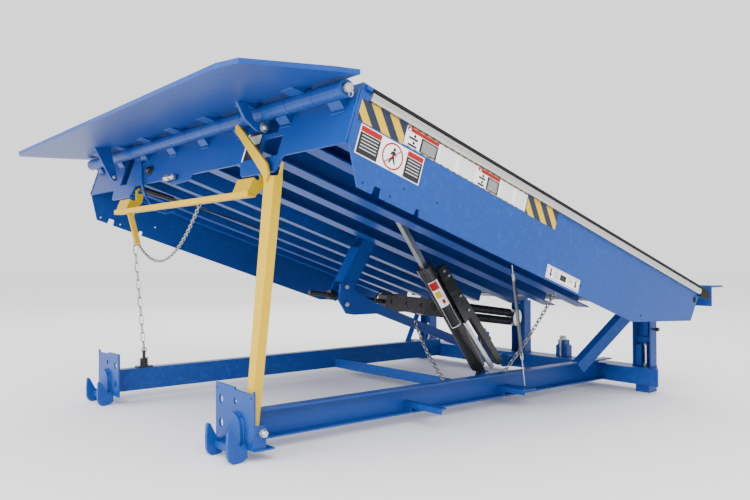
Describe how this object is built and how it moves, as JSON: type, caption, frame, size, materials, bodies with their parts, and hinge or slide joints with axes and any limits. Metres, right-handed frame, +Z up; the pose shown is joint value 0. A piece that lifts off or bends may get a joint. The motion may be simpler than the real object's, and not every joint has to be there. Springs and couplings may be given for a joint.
{
  "type": "dock leveler",
  "caption": "Spring-counterbalanced pit dock leveler with a hinged deck and lip, held raised by a maintenance strut on a welded floor frame.",
  "frame": {"origin": "centre of the resting footprint: the middle of the machine from side to side and from lip edge to curb edge, at floor level", "axes": "+Z up; +Y from the lip towards the rear hinge and curb angle; +X towards the side that carries the maintenance strut"},
  "size_m": [1.88, 2.1024, 0.9733],
  "materials": {
    "blue_paint": "semi-gloss enamel",
    "yellow_paint": "semi-gloss enamel",
    "black_paint": "satin enamel",
    "zinc_plate": "zinc plated",
    "aluminium": "mill",
    "rubber": "matt"
  },
  "bodies": {
    "frame": {"rail_right": "blue_paint", "rail_left": "blue_paint", "front_plate_right": "blue_paint", "front_plate_left": "blue_paint", "lip_keeper_right": "blue_paint", "lip_keeper_left": "blue_paint", "mid_cross_member": "blue_paint", "rear_cross_member": "blue_paint", "rear_post_right": "blue_paint", "rear_post_centre": "blue_paint", "rear_post_left": "blue_paint", "rear_brace_right": "blue_paint", "rear_brace_left": "blue_paint", "shim_stack_right": "blue_paint", "shim_stack_left": "blue_paint", "curb_angle": "blue_paint", "deck_hinge_pin": "zinc_plate", "chain_snubber": "black_paint", "strut_bolt": "zinc_plate", "lifter_base": "blue_paint", "rail_chain": "zinc_plate", "lifter_chain": "zinc_plate", "return_spring": "zinc_plate", "snubber_chain": "zinc_plate"},
    "deck": {"deck_plate": "blue_paint", "deck_beam_left_1": "blue_paint", "deck_beam_left_2": "blue_paint", "deck_beam_left_3": "blue_paint", "deck_beam_left_4": "blue_paint", "deck_beam_left_5": "blue_paint", "deck_beam_right_1": "blue_paint", "deck_beam_right_2": "blue_paint", "deck_beam_right_3": "blue_paint", "deck_beam_right_4": "blue_paint", "deck_beam_right_5": "blue_paint", "header": "blue_paint", "side_skirt_right": "blue_paint", "side_skirt_left": "blue_paint", "seal_holder_right": "aluminium", "seal_holder_left": "aluminium", "side_seal_right": "rubber", "side_seal_left": "rubber", "lip_hinge_pin": "zinc_plate", "strut_guide": "yellow_paint"},
    "lip": {"lip_plate": "blue_paint", "lip_lug_right": "blue_paint", "lip_lever_left": "blue_paint"},
    "legs": {"safety_leg_frame": "yellow_paint"},
    "strut": {"maintenance_strut": "yellow_paint"},
    "upper_arm": {"upper_lifter_arm": "blue_paint"},
    "lower_arm": {"lower_lifter_arm": "blue_paint"},
    "springs": {"spring_rod": "black_paint", "main_spring_upper": "black_paint", "main_spring_lower": "black_paint", "spring_anchor": "zinc_plate"},
    "hold_down": {"hold_down_tube": "black_paint", "hold_down_bracket": "black_paint", "release_bar": "zinc_plate"},
    "ratchet": {"ratchet_bar": "zinc_plate"}
  },
  "joints": [
    {"name": "deck_hinge", "type": "hinge", "parent": "frame", "child": "deck", "pos_m": [0, 0.88369, 0.3644], "axis": [-1, 0, 0], "range_deg": [-18.2, 0], "deforming": ["rail_chain", "lifter_chain", "return_spring", "snubber_chain"]},
    {"name": "lip_hinge", "type": "hinge", "parent": "deck", "child": "lip", "pos_m": [0, -0.74567, 0.93474], "axis": [1, 0, 0], "range_deg": [0, 66]},
    {"name": "leg_swing", "type": "hinge", "parent": "deck", "child": "legs", "pos_m": [0, -0.73438, 0.78362], "axis": [1, 0, 0], "range_deg": [0, 32.15]},
    {"name": "strut_hinge", "type": "hinge", "parent": "frame", "child": "strut", "pos_m": [0.59, -0.79681, 0.079], "axis": [-1, 0, 0], "range_deg": [0, 84.02]},
    {"name": "upper_lifter_hinge", "type": "hinge", "parent": "deck", "child": "upper_arm", "pos_m": [0.01, 0.01478, 0.60321], "axis": [1, 0, 0], "range_deg": [-24.69, 0]},
    {"name": "lower_lifter_hinge", "type": "hinge", "parent": "frame", "child": "lower_arm", "pos_m": [0.045, 0.73919, 0.087], "axis": [1, 0, 0], "range_deg": [0, 18.23]},
    {"name": "spring_pivot", "type": "hinge", "parent": "frame", "child": "springs", "pos_m": [0.01, 0.90119, 0.257], "axis": [1, 0, 0], "range_deg": [0, 15.48]},
    {"name": "hold_down_hinge", "type": "hinge", "parent": "frame", "child": "hold_down", "pos_m": [0.36, 0.29919, 0.092], "axis": [1, 0, 0], "range_deg": [0, 25.19]},
    {"name": "ratchet_slide", "type": "slide", "parent": "hold_down", "child": "ratchet", "axis": [0, -0.5864, 0.81], "range_m": [-0.19, 0]}
  ],
  "couplings": [
    {"joint": "leg_swing", "follows": "deck_hinge", "ratio": -1.75},
    {"joint": "strut_hinge", "follows": "deck_hinge", "ratio": -4.6},
    {"joint": "upper_lifter_hinge", "follows": "deck_hinge", "ratio": 1.34},
    {"joint": "lower_lifter_hinge", "follows": "deck_hinge", "ratio": -0.985},
    {"joint": "spring_pivot", "follows": "deck_hinge", "ratio": -0.834},
    {"joint": "hold_down_hinge", "follows": "deck_hinge", "ratio": -1.3676},
    {"joint": "ratchet_slide", "follows": "deck_hinge", "m_per_rad": 0.59}
  ]
}
